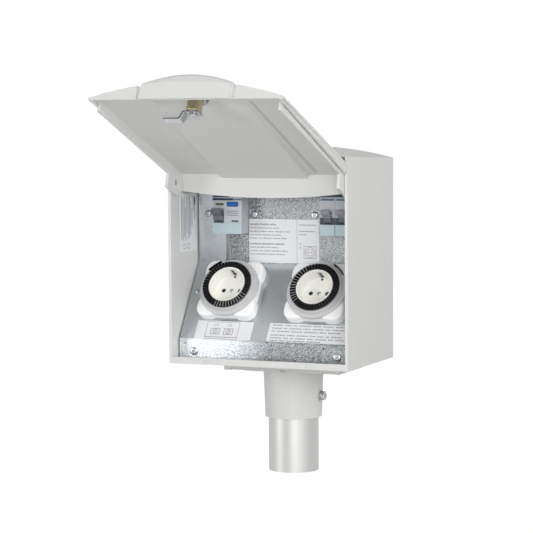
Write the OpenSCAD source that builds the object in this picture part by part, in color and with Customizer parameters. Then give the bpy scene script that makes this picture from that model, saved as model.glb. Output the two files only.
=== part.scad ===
// Garden socket post: a lidded outdoor housing with two timer sockets, standing on a round tube.
// The origin is the centre of the tube's foot. +Z is up and the lid opens towards -Y.

/* [Post] */
// Outer diameter of the post tube
tube_d = 55; // [45:0.5:60]
// Wall of the post tube
tube_wall = 2; // [1.5:0.25:3]
// Height of the housing's underside above the foot of the tube
post_drop = 124; // [100:1:400]
// Distance from the tube's axis to the back of the housing
post_setback = 41; // [34:0.5:42]

/* [Collar] */
// Wall of the collar under its flange
collar_wall_top = 5.5; // [4.5:0.25:8.5]
// Wall of the collar at its foot
collar_wall_foot = 3.7; // [3:0.1:4.5]
// Height of the collar with its flange
collar_h = 64.5; // [50:0.5:75]
// Width of the flange
flange_w = 135; // [110:1:160]
// Reach of the flange ahead of the tube's axis
flange_front = 36; // [34:1:60]
// Reach of the flange behind the tube's axis
flange_back = 33.5; // [33.2:0.1:33.8]
// Thickness of the flange
flange_t = 12; // [6:0.5:16]
// Thickness of the gasket between flange and housing
gasket_t = 0.8; // [0.5:0.1:2]
// Radial clearance of the tube in the collar
tube_fit = 0.1; // [0.05:0.05:0.3]

/* [Housing] */
// Width of the housing
box_w = 206; // [200:1:230]
// Depth of the housing
box_d = 140; // [130:1:160]
// Height of the side walls at the front
side_h = 222; // [216:1:250]
// Rise of the arched roof over the side walls
roof_rise = 13; // [9:0.5:16]
// Fall of the roof from front to back
roof_fall = 4; // [2:0.5:8]
// Wall of the housing
wall = 3.2; // [2.5:0.1:4]
// Radius of the housing's rear edges
rear_round = 4.5; // [4:0.5:10]
// Height of the front lip
lip_h = 7; // [5:0.5:9]
// Thickness of the front lip
lip_t = 2.5; // [1.5:0.1:2.8]

/* [Lid] */
// Wall of the lid
lid_t = 2.5; // [2:0.1:3]
// Angle from closed to fully open
lid_open = 114; // [60:1:114]
// Hinge axis behind the housing's front edge
hinge_y = 6; // [5:0.5:8]
// Hinge axis below the top of the side walls
hinge_drop = 28; // [26:0.5:34]
// Depth of the lid's sides at its foot
lid_edge_foot = 2; // [1:0.5:3]
// Depth of the lid's sides at its top
lid_edge_top = 8.5; // [7:0.5:13]
// Bow of the lid across its foot
lid_bow = 16; // [8:0.5:20]
// Half width of the handle and of the band above it
band_half = 50; // [40:1:60]
// Depth of the band at the top of the lid
band_step = 3.5; // [2:0.5:6]
// Rise of the handle at its ends
handle_edge = 3; // [1:0.5:4]
// Further rise of the handle at its middle
handle_crown = 6; // [2:0.5:7]
// Lean of the visor at the top of the lid
visor_lean = 56; // [54:1:64]
// Diameter of the hinge pins
hinge_pin_d = 6; // [4:0.5:7]
// Radial clearance of the hinge pins
pin_fit = 0.05; // [0.02:0.01:0.1]

/* [Lock] */
// Height of the lock above the housing's underside
lock_z = 34; // [34:0.5:38]
// Offset of the lock from the middle of the lid
lock_x = -6.5; // [-8:0.5:8]
// Diameter of the lock barrel
barrel_d = 16; // [12:0.5:18]
// Reach of the lock cam
cam_reach = 30; // [24:0.5:30]

/* [Plate] */
// Thickness of the equipment plate
plate_t = 1.5; // [1:0.1:2]
// Depth of the plate's foot behind the front edge
plate_foot_y = 15; // [13:0.5:18]
// Height of the bend at the foot of the slope
slope_z0 = 25.5; // [22:0.5:28]
// Depth of the upright panel behind the front edge
panel_y = 66; // [62:0.5:70]
// Height of the bend at the top of the slope
slope_z1 = 105; // [104:0.5:110]
// Gap between the plate and the side walls
plate_gap = 1.8; // [1:0.1:3]

/* [Switchgear] */
// Width of one module
module_w = 17.5; // [17:0.1:18]
// Height of a module's front
front_h = 45; // [43:0.5:46]
// Height of a module's body
body_h = 85; // [80:1:88]
// Middle of the modules below the top of the side walls
gear_drop = 62; // [58:0.5:62]
// Stand of the fronts ahead of the panel
front_stand = 18; // [14:0.5:20]
// Depth of the bodies behind the panel
body_depth = 38.5; // [36:0.5:42]
// Middle of the residual-current switch, as a share of half the plate's width
rcd_share = -0.569; // [-0.58:0.001:-0.56]
// Middle of the pair of breakers, as a share of half the plate's width
mcb_share = 0.715; // [0.7:0.005:0.73]

/* [Timers] */
// Distance of each timer from their middle, as a share of half the plate's width
timer_share = 0.52; // [0.5:0.005:0.53]
// Offset of the pair of timers to the right
timer_offset = 2.7; // [0:0.1:3]
// Height of the timers along the slope
timer_s = 57.5; // [57:0.5:58]
// Width of a timer's base
timer_base_w = 69; // [66:0.5:70]
// Diameter of the drum's foot
drum_d = 67; // [64:0.5:67]
// Outer diameter of the dial
dial_d = 55; // [53:0.5:57]
// Diameter of the socket sleeve
sleeve_d = 40.8; // [40.4:0.2:42]
// Diameter of the socket recess
recess_d = 38.6; // [38:0.1:39]
// Depth of the socket recess
recess_depth = 16; // [14:0.5:17]
// Distance between the pin holes
pin_pitch = 19; // [18:0.5:20]
// Tabs round each dial
tab_count = 48; // [24:12:96]
// Running gap round the moving pieces of a timer
run_gap = 0.3; // [0.2:0.05:0.5]

/* [Hidden] */
$fn = 64;

// Shared places
half_w = box_w / 2;
inner_half = half_w - wall;
post_y = box_d - post_setback;
hinge_z = side_h - hinge_drop;
gear_z = side_h - gear_drop;
roof_r = (half_w * half_w + roof_rise * roof_rise) / (2 * roof_rise);
roof_tilt = atan(roof_fall / box_d);
collar_top_d = tube_d + 2 * collar_wall_top;
collar_foot_d = tube_d + 2 * collar_wall_foot;
collar_foot = post_drop - collar_h;
flange_top = post_drop - gasket_t;
tube_top = flange_top - flange_t;
rebate_d = 7;
rebate_wall = 1.4;
overlap = 0.6;

// The slope of the equipment plate: its angle from the vertical, and the lie of its face
slope_angle = atan2(panel_y - plate_foot_y, slope_z1 - slope_z0);
plate_half = inner_half - plate_gap;
rcd_x = rcd_share * plate_half;
mcb_x = mcb_share * plate_half;
timer_x = timer_share * plate_half;
plate_base = wall + 1.2;
plate_top = side_h - 16;
panel_back = panel_y + plate_t;
rail_y = panel_back + 1 + body_depth;
rail_depth = 7.5;
rail_h = 35;
front_y = panel_y - front_stand;

// Screws
small_screw_r = 1.7;
small_head_r = 4;
small_head_h = 2;
screw_bite = 8;
hole_fit = 0.1;
boss_r = 4;
panel_screw_x = [-0.885, -0.316, 0.406] * plate_half;
panel_screw_z = gear_z - 2;
foot_screw_x = [-0.823, 0.872] * plate_half;
foot_screw_z = 12.2;
foot_hole_x = [-0.933, 0.711] * plate_half;
foot_hole_z = 20.7;
foot_hole_r = 0.9;
slope_screw_x = -0.942 * plate_half;
slope_screw_s = timer_s;
rail_screw_x = [-0.143, 0.265] * plate_half;
flange_screw_x = flange_w / 2 - 12;
flange_screw_y = [-flange_front + 12, flange_back - 8];
flange_screw_r = 2.5;
grommet_r = 11;
clamp_z = post_drop - 41;
clamp_r = 3;

// Lid places: its foot, its corner, its rim and its cheeks
lid_foot = -3.5;
lid_corner = hinge_z + 11;
rim_gap = 0.4;
rim_top = hinge_z - 11;
cheek_t = 3;
cheek_gap = 0.5;
cheek_out = inner_half - cheek_gap;
lid_flare = 2;
end_rim = 1.5;
end_pad = 1.8;
end_share = 0.995;
groove_t = 3.2;
lip_foot = lip_h + 1;
lip_in = [5.7, 3];
visor_crown = 6.7;
lid_fillet = 4;
handle_run = 70;
sheet_rows = [0, 0.6, 1.6, 3, 5, 7, 16, 28, 36, 44, 49, 54, 60, handle_run, 105, 140, rim_top - lid_foot - 12,
              rim_top - lid_foot - 7, rim_top - lid_foot, lid_corner - lid_foot];

// Lock places
lock_in = lid_in(lock_x, lock_z) + hollow(lock_x, lock_z);
lock_out = lid_out(lock_x, lock_z);
nut_t = 4;
cam_t = 2;
barrel_end = -4.5;
catch_gap = 0.8;

// Timer heights above the plate
base_t = 9;
lobe_t = 11;
lobe_r = 12;
drum_shelf = 13.2;
drum_top = 17.4;
drum_neck_d = dial_d + 5;
dial_z = drum_top + run_gap;
tab_z = dial_z + 1.4;
face_z = tab_z + 1.2;
tab_h = 1.3;
sleeve_fit = 0.15;
socket_foot = -1.1;
clip_w = 6;
clip_t = 0.6;
clip_h = 12;
rear_w = 58;
rear_h = 24;
override_w = 1.4;
override_span = 29;
override_mid = 131;

// A frame whose origin is the middle of the housing's lower front edge
module in_box() { translate([0, -post_y, post_drop]) children(); }

// The lid's own frame, closed, carried to its open rest
module in_lid() {
  in_box() translate([0, hinge_y, hinge_z]) rotate([-lid_open, 0, 0]) translate([0, -hinge_y, -hinge_z]) children();
}

// A frame on the sloped face: X across, Y up the slope, Z out of it
module on_slope(x, s) {
  in_box() translate([x, plate_foot_y, slope_z0]) rotate([90 - slope_angle, 0, 0]) translate([0, s, 0]) children();
}

// The middle of a timer's foot, in the sloped face's frame
module at_timer(side) { on_slope(timer_offset + side * timer_x, timer_s) children(); }

// A rod along +Y from the given point
module rod_y(x, y, z, r, length) { translate([x, y, z]) rotate([-90, 0, 0]) cylinder(r=r, h=length); }

// A pan-head screw along +Y whose head seats at y
module screw_y(x, y, z, r, head_r, head_h, length) {
  rod_y(x, y - head_h, z, head_r, head_h);
  rod_y(x, y - overlap, z, r, length + overlap);
}

module tube_ring(r_out, r_in, h) {
  difference() {
    cylinder(r=r_out, h=h);
    translate([0, 0, -1]) cylinder(r=r_in, h=h + 2);
  }
}

// Post and collar

module post_tube() color("silver") difference() {
  tube_ring(tube_d / 2, tube_d / 2 - tube_wall, tube_top);
  translate([0, 0, clamp_z]) rotate([0, 90, 0]) cylinder(r=clamp_r + hole_fit, h=tube_d);
}

module post_collar() color("gainsboro") difference() {
  translate([0, 0, collar_foot]) cylinder(d1=collar_foot_d, d2=collar_top_d, h=tube_top - collar_foot);
  translate([0, 0, collar_foot - 1]) cylinder(r=tube_d / 2 + tube_fit, h=tube_top - collar_foot + 2);
  translate([0, 0, clamp_z]) rotate([0, 90, 0]) cylinder(r=clamp_r + hole_fit, h=collar_top_d);
}

module collar_flange() color("gainsboro") difference() {
  translate([-flange_w / 2, -flange_front, tube_top]) cube([flange_w, flange_front + flange_back, flange_t]);
  translate([0, 0, tube_top - 1]) cylinder(r=grommet_r + 2, h=flange_t + 2);
  for (x = [-flange_screw_x, flange_screw_x], y = flange_screw_y)
    translate([x, y, tube_top + 1]) cylinder(r=flange_screw_r + hole_fit, h=flange_t);
  for (x = [-0.38, 0.06, 0.42] * flange_w)
    translate([x - 8, -flange_front - 1, tube_top - 1]) cube([16, 5, 3]);
}

module clamp_washer() color("silver") translate([clamp_seat(), 0, clamp_z]) rotate([0, 90, 0])
  tube_ring(6, clamp_r + hole_fit, 1);

function clamp_seat() = collar_top_d / 2;

module clamp_screw() color("silver") translate([clamp_seat() + 1, 0, clamp_z]) rotate([0, 90, 0]) difference() {
  union() {
    cylinder(r=5, h=3.4);
    translate([0, 0, tube_d / 2 - tube_wall + 0.3 - clamp_seat() - 1])
      cylinder(r=clamp_r, h=clamp_seat() + 1 + overlap - tube_d / 2 + tube_wall - 0.3);
  }
  translate([0, 0, 1.6]) cylinder(r=2.4, h=3, $fn=6);
}

module flange_gasket() color("dimgray") difference() {
  translate([-flange_w / 2 + 1, -flange_front + 1, flange_top])
    cube([flange_w - 2, flange_front + flange_back - 2, gasket_t]);
  translate([0, 0, flange_top - 1]) cylinder(r=grommet_r + 2, h=gasket_t + 2);
  for (x = [-flange_screw_x, flange_screw_x], y = flange_screw_y)
    translate([x, y, flange_top - 1]) cylinder(r=flange_screw_r + hole_fit, h=gasket_t + 2);
}

module flange_screws() color("silver") for (x = [-flange_screw_x, flange_screw_x], y = flange_screw_y) {
  translate([x, y, post_drop + wall]) cylinder(r=4.5, h=2.6);
  translate([x, y, tube_top + 2]) cylinder(r=flange_screw_r, h=flange_t + gasket_t + wall - 2 + overlap);
}

module cable_grommet() color("black") translate([0, 0, post_drop]) difference() {
  union() {
    translate([0, 0, -2]) cylinder(r=grommet_r - 0.2, h=wall + 4);
    translate([0, 0, wall]) cylinder(r=grommet_r + 3, h=2.5);
  }
  translate([0, 0, -3]) cylinder(r=grommet_r - 4, h=wall + 9);
}

// Housing

module floor_outline(inset, front) {
  r = rear_round - inset;
  w = half_w - inset;
  d = box_d - inset;
  translate([-w, front]) square([2 * w, d - r - front]);
  translate([-w + r, front]) square([2 * (w - r), d - front]);
  for (side = [-1, 1]) translate([side * (w - r), d - r]) circle(r=r);
}

module under_roof(inset) {
  translate([0, 0, side_h + roof_rise - roof_r]) rotate([-90 - roof_tilt, 0, 0])
    translate([0, 0, -20]) cylinder(r=roof_r - inset, h=box_d + 40, $fn=200);
}

module housing_shell() {
  difference() {
    intersection() {
      linear_extrude(height=side_h + roof_rise + 5) floor_outline(0, 0);
      under_roof(0);
    }
    intersection() {
      translate([0, 0, wall]) linear_extrude(height=side_h + roof_rise) floor_outline(wall, -1);
      under_roof(wall);
    }
    intersection() {
      translate([-inner_half, -1, side_h - 20]) cube([2 * inner_half, rebate_d + 1, roof_rise + 40]);
      under_roof(rebate_wall);
    }
  }
  translate([-half_w + 1, 0, 0]) cube([box_w - 2, lip_t, lip_h]);
}

module housing() color("gainsboro") in_box() difference() {
  union() {
    housing_shell();
    for (x = panel_screw_x) rod_y(x, panel_back, panel_screw_z, boss_r, box_d - wall - panel_back + overlap);
    for (x = rail_screw_x)
      rod_y(x, rail_y + rail_depth, gear_z, boss_r, box_d - wall - rail_y - rail_depth + overlap);
    for (x = foot_screw_x)
      translate([x - 6, plate_foot_y + plate_t, wall - overlap]) cube([12, 12, foot_screw_z + 4]);
  }
  for (x = panel_screw_x) rod_y(x, panel_back - 1, panel_screw_z, small_screw_r + hole_fit, screw_bite + 2);
  for (x = rail_screw_x) rod_y(x, rail_y + rail_depth - 1, gear_z, small_screw_r + hole_fit, screw_bite + 2);
  for (x = foot_screw_x) rod_y(x, plate_foot_y, foot_screw_z, small_screw_r + hole_fit, screw_bite + 2);
  for (side = [-1, 1]) translate([side * 0.569 * half_w - 3.5, -1, 1.6]) cube([7, 2, 3.2]);
  for (side = [-1, 1]) translate([side * (cheek_out - 1), hinge_y, hinge_z]) rotate([0, side * 90, 0])
    cylinder(r=hinge_pin_d / 2 + pin_fit, h=wall - 0.8 + cheek_gap + 1);
  translate([0, post_y, -1]) cylinder(r=grommet_r, h=wall + 2);
  for (x = [-flange_screw_x, flange_screw_x], y = flange_screw_y)
    translate([x, post_y + y, -1]) cylinder(r=flange_screw_r + hole_fit, h=wall + 2);
}

// Lid, drawn closed

function lid_ramp(z) = (z - lid_foot) / (lid_corner - lid_foot);
function lid_half(z) = z < rim_top - 9 ? half_w + lid_flare * (1 - lid_ramp(z)) : cheek_out - 0.4;
function lid_in(x, z) = lid_edge_foot + (lid_edge_top - lid_edge_foot) * lid_ramp(z)
  + lid_bow * (1 - lid_ramp(z)) * (1 - pow(x / half_w, 2))
  - (abs(x) < band_half ? band_step * lid_ramp(z) : 0);
function rolled(dz) = dz < lid_fillet ? sqrt(1 - pow(1 - dz / lid_fillet, 2)) : 1;
function handle_fade(dz) = dz < 28 ? 1 : (dz > handle_run ? 0 : (1 + cos(180 * (dz - 28) / (handle_run - 28))) / 2);
function handle_rise(x, z) = abs(x) > band_half ? 0
  : (handle_edge + handle_crown * (1 - pow(x / band_half, 2))) * handle_fade(z - lid_foot) * rolled(z - lid_foot);
// The hollow inside the handle, behind the end wall
function hollow_fade(dz) = dz < 3 ? 0 : (dz < 7 ? (dz - 3) / 4
  : (dz < 44 ? 1 : (dz > 60 ? 0 : (1 + cos(180 * (dz - 44) / 16)) / 2)));
function hollow(x, z) = abs(x) > band_half - 4 ? 0 : 0.8 * handle_rise(x, z) * hollow_fade(z - lid_foot);
function lid_out(x, z) = lid_in(x, z) + lid_t + handle_rise(x, z);

// Columns of the front sheet: close pairs at the edges of the handle band
column_pair = 0.5;
side_steps = 6;
band_steps = 12;
sheet_columns = concat(
  [for (i = [0:side_steps]) -half_w + i * (half_w - band_half - column_pair) / side_steps],
  [for (i = [0:band_steps]) (-1 + 2 * i / band_steps) * (band_half - column_pair)],
  [for (i = [0:side_steps]) band_half + column_pair + i * (half_w - band_half - column_pair) / side_steps]);
columns = len(sheet_columns);
rows = len(sheet_rows);
function sheet_x(i, z) = abs(sheet_columns[i]) > band_half + 1
  ? sign(sheet_columns[i]) * (band_half + (abs(sheet_columns[i]) - band_half)
    * (lid_half(z) - band_half) / (half_w - band_half))
  : sheet_columns[i];
function sheet_top(x, z) = z < lid_corner ? z : z + (lid_edge_top - lid_in(x, z)) / tan(visor_lean);
function sheet_point(i, z, outer) = let (x = sheet_x(i, z))
  [x, -(outer ? lid_out(x, z) : lid_in(x, z) + hollow(x, z)), sheet_top(x, z)];

module lid_sheet() {
  points = [for (outer = [false, true], j = [0:rows - 1], i = [0:columns - 1])
    sheet_point(i, lid_foot + sheet_rows[j], outer)];
  skin = rows * columns;
  inner = [for (j = [0:rows - 2], i = [0:columns - 2]) let (a = j * columns + i)
    each [[a, a + 1, a + columns], [a + 1, a + columns + 1, a + columns]]];
  outer = [for (f = inner) [f[0] + skin, f[2] + skin, f[1] + skin]];
  ends = [for (a = [0:columns - 2]) let (b = (rows - 1) * columns + a)
    each [[a, a + skin, a + 1], [a + 1, a + skin, a + skin + 1],
          [b, b + 1, b + skin], [b + 1, b + skin + 1, b + skin]]];
  sides = [for (j = [0:rows - 2]) let (a = j * columns, b = a + columns - 1)
    each [[a, a + columns, a + skin], [a + columns, a + skin + columns, a + skin],
          [b, b + skin, b + columns], [b + columns, b + skin, b + skin + columns]]];
  polyhedron(points=points, faces=concat(inner, outer, ends, sides), convexity=6);
}

// An outline in Y and Z, drawn out along +X from x
module side_slab(x, t, outline) {
  translate([x, 0, 0]) rotate([90, 0, 90]) linear_extrude(height=t) polygon(outline);
}

module lid_side(x) side_slab(x, lid_t, [
  [-rim_gap, lid_foot], [-rim_gap, rim_top], [-lid_in(half_w, rim_top - 12) - 1, rim_top - 12],
  [-lid_edge_foot - 1, lid_foot]]);

// The flange inside each side, which enters the housing and runs on into the cheek
module lid_lip(x) side_slab(x, cheek_t, [
  [-lid_in(cheek_out, lip_foot) - 1, lip_foot], [lip_in[0], lip_foot], [lip_in[1], rim_top - 7],
  [-lid_in(cheek_out, rim_top - 7) - 1, rim_top - 7]]);

module lid_cheek(x) side_slab(x, cheek_t, [
  [-lid_in(cheek_out, rim_top - 9) - 1, rim_top - 9], [-rim_gap, rim_top - 9], [hinge_y + 12, rim_top - 6],
  [hinge_y + 12, hinge_z + 9], [hinge_y + 2, hinge_z + 18], [-lid_edge_top - 1, lid_corner + 0.4]]);

module visor_outline() {
  side_reach = (side_h - 6.5 - lid_corner) / cos(visor_lean);
  crown_reach = side_reach + visor_crown;
  w = cheek_out - 0.4;
  arc_r = (w * w + pow(crown_reach - side_reach, 2)) / (2 * (crown_reach - side_reach));
  intersection() {
    translate([-w, -1]) square([2 * w, crown_reach + 2]);
    translate([0, crown_reach - arc_r]) circle(r=arc_r, $fn=200);
  }
}

module lid_end() {
  foot = [for (i = [0:columns - 1]) let (x = end_share * sheet_x(i, lid_foot)) [x, -lid_in(x, lid_foot) - 1]];
  pad = [for (i = [0:band_steps]) let (x = sheet_columns[side_steps + 1 + i]) [x, -lid_in(x, lid_foot) - lid_t + 0.2]];
  half = end_share * lid_half(lid_foot);
  translate([0, 0, lid_foot]) linear_extrude(height=lid_t)
    polygon(concat([[-half, -end_rim]], foot, [[half, -end_rim]]));
  translate([0, 0, lid_foot - end_pad]) linear_extrude(height=end_pad + overlap)
    polygon(concat([[pad[0][0], -end_rim]], pad, [[pad[band_steps][0], -end_rim]]));
}

// The notches that part the handle from the sides
module handle_notches() for (side = [-1, 1])
  translate([side * (band_half + 0.8), -lid_in(band_half, lid_foot), lid_foot - end_pad - 0.2]) {
    linear_extrude(height=groove_t) polygon([[-3.4, -12], [3.4, -12], [1.5, 12], [-1.5, 12]]);
    linear_extrude(height=26.5) polygon([[-3, -8], [3, -8], [1.3, -1.1], [-1.3, -1.1]]);
  }

module lid() color("gainsboro") in_lid() difference() {
  union() {
    lid_sheet();
    lid_side(-half_w);
    lid_side(half_w - lid_t);
    lid_lip(-cheek_out);
    lid_lip(cheek_out - cheek_t);
    lid_cheek(-cheek_out);
    lid_cheek(cheek_out - cheek_t);
    lid_end();
    translate([0, -lid_edge_top, lid_corner]) rotate([90 - visor_lean, 0, 0])
      linear_extrude(height=lid_t) visor_outline();
  }
  handle_notches();
  rod_y(lock_x, -lock_out - 5, lock_z, barrel_d / 2 + hole_fit, lock_out);
  rod_y(lock_x, -lock_out - 5, lock_z, barrel_d / 2 + 3.4, 5);
  rod_y(lock_x, -lock_in, lock_z, barrel_d / 2 + 4.9, 6);
  for (side = [-1, 1]) translate([side * (cheek_out - cheek_t - 1), hinge_y, hinge_z]) rotate([0, side * 90, 0])
    cylinder(r=hinge_pin_d / 2, h=cheek_t + 2);
}

module hinge_pins() color("silver") in_lid() for (side = [-1, 1])
  translate([side * (cheek_out - cheek_t), hinge_y, hinge_z]) rotate([0, side * 90, 0])
    cylinder(r=hinge_pin_d / 2, h=cheek_t + cheek_gap + wall - 1.2);

module lock_barrel() color("goldenrod") in_lid() difference() {
  union() {
    rod_y(lock_x, -lock_out - 2.5, lock_z, barrel_d / 2 + 3, 2.5);
    rod_y(lock_x, -lock_out - overlap, lock_z, barrel_d / 2, lock_out + overlap + barrel_end);
  }
  rod_y(lock_x, -lock_out - 4, lock_z, barrel_d / 2 - 3, lock_out + 8);
}

module lock_nut() color("silver") in_lid() difference() {
  translate([lock_x, -lock_in, lock_z]) rotate([-90, 0, 0]) cylinder(r=barrel_d / 2 + 4.5, h=nut_t, $fn=6);
  rod_y(lock_x, -lock_in - 1, lock_z, barrel_d / 2 + hole_fit, nut_t + 2);
}

module lock_plug() color("silver") in_lid() difference() {
  rod_y(lock_x, -lock_out - 2.2, lock_z, barrel_d / 2 - 3 - run_gap / 2, lock_out + 2.2 + barrel_end + run_gap);
  translate([lock_x - 0.6, -lock_out - 3, lock_z - 3]) cube([1.2, 6, 6]);
}

module lock_cam() color("silver") in_lid() {
  root = barrel_end + run_gap;
  tip = lip_t + catch_gap;
  translate([lock_x, 0, lock_z - 5]) linear_extrude(height=10) polygon([
    [8, root], [8, root + cam_t], [-8, root + cam_t], [-11, tip + cam_t], [-cam_reach, tip + cam_t],
    [-cam_reach, tip], [-13, tip], [-10, root]]);
}

module cam_screw() color("silver") in_lid() rod_y(lock_x, barrel_end + run_gap + cam_t, lock_z, 4.2, 2.4);

// Equipment plate and what it carries

module equipment_plate() color("lightgray") difference() {
  in_box() translate([-plate_half, 0, 0]) rotate([90, 0, 90]) linear_extrude(height=2 * plate_half) polygon([
    [plate_foot_y, plate_base], [plate_foot_y, slope_z0], [panel_y, slope_z1], [panel_y, plate_top],
    [panel_back, plate_top], [panel_back, slope_z1], [plate_foot_y + plate_t, slope_z0],
    [plate_foot_y + plate_t, plate_base]]);
  in_box() {
    translate([rcd_x - module_w - 0.4, panel_y - 1, gear_z - front_h / 2 - 0.4])
      cube([2 * module_w + 0.8, plate_t + 2, front_h + 0.8]);
    translate([mcb_x - module_w - 0.4, panel_y - 1, gear_z - front_h / 2 - 0.4])
      cube([2 * module_w + 0.8, plate_t + 2, front_h + 0.8]);
    for (x = panel_screw_x) rod_y(x, panel_y - 1, panel_screw_z, small_screw_r + hole_fit, plate_t + 2);
    for (x = foot_screw_x) rod_y(x, plate_foot_y - 1, foot_screw_z, small_screw_r + hole_fit, plate_t + 2);
    for (x = foot_hole_x) rod_y(x, plate_foot_y - 1, foot_hole_z, foot_hole_r, plate_t + 2);
  }
  for (side = [-1, 1]) at_timer(side) translate([0, 0, -4]) cylinder(d=sleeve_d + 1, h=8);
  on_slope(slope_screw_x, slope_screw_s) translate([0, 0, -4]) cylinder(r=small_screw_r + hole_fit, h=8);
}

module plate_screws() color("silver") {
  in_box() for (x = panel_screw_x)
    screw_y(x, panel_y, panel_screw_z, small_screw_r, small_head_r, small_head_h, plate_t + screw_bite);
  in_box() for (x = foot_screw_x)
    screw_y(x, plate_foot_y, foot_screw_z, small_screw_r, small_head_r + 0.5, small_head_h, plate_t + screw_bite);
  on_slope(slope_screw_x, slope_screw_s) rotate([-90, 0, 0])
    screw_y(0, 0, 0, small_screw_r, small_head_r - 1, small_head_h, screw_bite);
}

module din_rail() color("lightgray") in_box() difference() {
  translate([-plate_half + 8, 0, gear_z]) rotate([90, 0, 90]) linear_extrude(height=2 * plate_half - 16) union() {
    translate([rail_y, rail_h / 2 - 5]) square([1, 5]);
    translate([rail_y, -rail_h / 2]) square([1, 5]);
    translate([rail_y, rail_h / 2 - 5]) square([rail_depth, 1]);
    translate([rail_y, -rail_h / 2 + 4]) square([rail_depth, 1]);
    translate([rail_y + rail_depth - 1, -rail_h / 2 + 4]) square([1, rail_h - 8]);
  }
  for (x = rail_screw_x) rod_y(x, rail_y, gear_z, small_screw_r + hole_fit, rail_depth + 2);
  for (x = panel_screw_x) rod_y(x, rail_y - 1, panel_screw_z, boss_r + 0.5, rail_depth + 2);
}

module rail_screws() color("silver") in_box() for (x = rail_screw_x)
  screw_y(x, rail_y + rail_depth - 1, gear_z, small_screw_r, small_head_r, small_head_h, 1 + screw_bite);

block_w = 60;
block_d = 18;
block_h = 22;
block_z = 42;
bar_d = 8;
bar_h = 10;
bar_z = 20;
ways = 5;
way_r = 2.6;
way_depth = 6;

// A row of holes along a block of the given depth, at height z
module ways_cut(d, z) for (i = [0:ways - 1])
  rod_y(block_w * ((i + 0.5) / ways - 0.5), box_d - wall - d - 1, z, way_r, way_depth + 1);

module terminal_block() color("whitesmoke") in_box() difference() {
  translate([-block_w / 2, box_d - wall - block_d, block_z]) cube([block_w, block_d, block_h]);
  ways_cut(block_d, block_z + block_h / 2);
}

module earth_bar() color("goldenrod") in_box() difference() {
  translate([-block_w / 2, box_d - wall - bar_d, bar_z]) cube([block_w, bar_d, bar_h]);
  ways_cut(bar_d, bar_z + bar_h / 2);
}

// Switchgear

toggle_r = 6.4;
toggle_drop = 5;
toggle_slot = 9;
window_h = 11.5;
window_t = 1;
button_w = 12.6;
button_h = 4.4;
button_in = 4.5;
button_stand = 1;
toggle_z = gear_z - 4;
button_z = gear_z + 9.6;
rcd_toggle_x = rcd_x - module_w + 7.4;
rcd_toggle_w = 11.6;
breaker_toggle_w = 9;
button_x = rcd_x + 6.4;

module gear_body(x, w) {
  translate([x - w / 2, front_y, gear_z - front_h / 2]) cube([w, front_stand + plate_t + 1 + overlap, front_h]);
  translate([x - w / 2, panel_back + 1, gear_z - body_h / 2]) cube([w, body_depth, body_h]);
}

module toggle_cut(x, w) {
  translate([x - w / 2 - run_gap, front_y + toggle_drop, toggle_z]) rotate([0, 90, 0])
    cylinder(r=toggle_r + run_gap, h=w + 2 * run_gap);
  translate([x - w / 2 - run_gap, front_y - 1, toggle_z - toggle_slot])
    cube([w + 2 * run_gap, 4.5, 2 * toggle_slot]);
}

module toggle(x, w) {
  translate([x, front_y + toggle_drop, toggle_z]) {
    translate([-w / 2, 0, 0]) rotate([0, 90, 0]) cylinder(r=toggle_r, h=w);
    rotate([-28, 0, 0]) translate([-w / 2, -15, -2.4]) cube([w, 13, 4.8]);
  }
}

module gear_window(x, w) {
  translate([x - w / 2 + 0.4, front_y - window_t, gear_z - front_h / 2]) cube([w - 0.8, window_t, window_h]);
}

module rcd_body() color("whitesmoke") in_box() difference() {
  gear_body(rcd_x, 2 * module_w - 0.2);
  toggle_cut(rcd_toggle_x, rcd_toggle_w);
  translate([button_x - button_w / 2 - run_gap, front_y - 1, button_z - button_h / 2 - run_gap])
    cube([button_w + 2 * run_gap, button_in + 3, button_h + 2 * run_gap]);
}

module rcd_toggle() color("gray") in_box() toggle(rcd_toggle_x, rcd_toggle_w);

module rcd_test_button() color("royalblue") in_box()
  translate([button_x - button_w / 2, front_y - button_stand, button_z - button_h / 2])
    cube([button_w, button_in + button_stand, button_h]);

module rcd_window() color("paleturquoise") in_box() gear_window(rcd_x, 2 * module_w);

module breaker_body(side) color("whitesmoke") in_box() difference() {
  gear_body(mcb_x + side * module_w / 2, module_w - 0.2);
  toggle_cut(mcb_x + side * module_w / 2, breaker_toggle_w);
}

module breaker_toggle(side) color("darkslategray") in_box() toggle(mcb_x + side * module_w / 2, breaker_toggle_w);

module breaker_window(side) color("paleturquoise") in_box() gear_window(mcb_x + side * module_w / 2, module_w);

// Timer sockets

module timer_base(side) color("white") at_timer(side) difference() {
  union() {
    translate([-timer_base_w / 2 + 2, -timer_base_w / 2 + 2, 0]) cube([timer_base_w - 4, timer_base_w - 4, base_t]);
    for (x = [-1, 1], y = [-1, 1]) translate([x, y, 0] * (timer_base_w / 2 - lobe_r)) cylinder(r=lobe_r, h=lobe_t);
  }
  translate([0, 0, base_t]) cylinder(d=drum_d + 2 * sleeve_fit, h=lobe_t);
  translate([0, 0, -1]) cylinder(d=sleeve_d + 2 * sleeve_fit, h=base_t + 2);
}

module timer_drum(side) color("lightgray") at_timer(side) rotate_extrude() polygon([
  [sleeve_d / 2 + sleeve_fit, base_t], [drum_d / 2, base_t], [drum_d / 2, drum_shelf],
  [drum_neck_d / 2, drum_shelf], [drum_neck_d / 2 - 1, drum_top], [sleeve_d / 2 + sleeve_fit, drum_top]]);

module timer_dial(side) color("black") at_timer(side) translate([0, 0, dial_z]) difference() {
  cylinder(d=dial_d, h=tab_z - dial_z);
  translate([0, 0, -1]) cylinder(d=sleeve_d + 2 * run_gap, h=tab_z - dial_z + 2);
}

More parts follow.
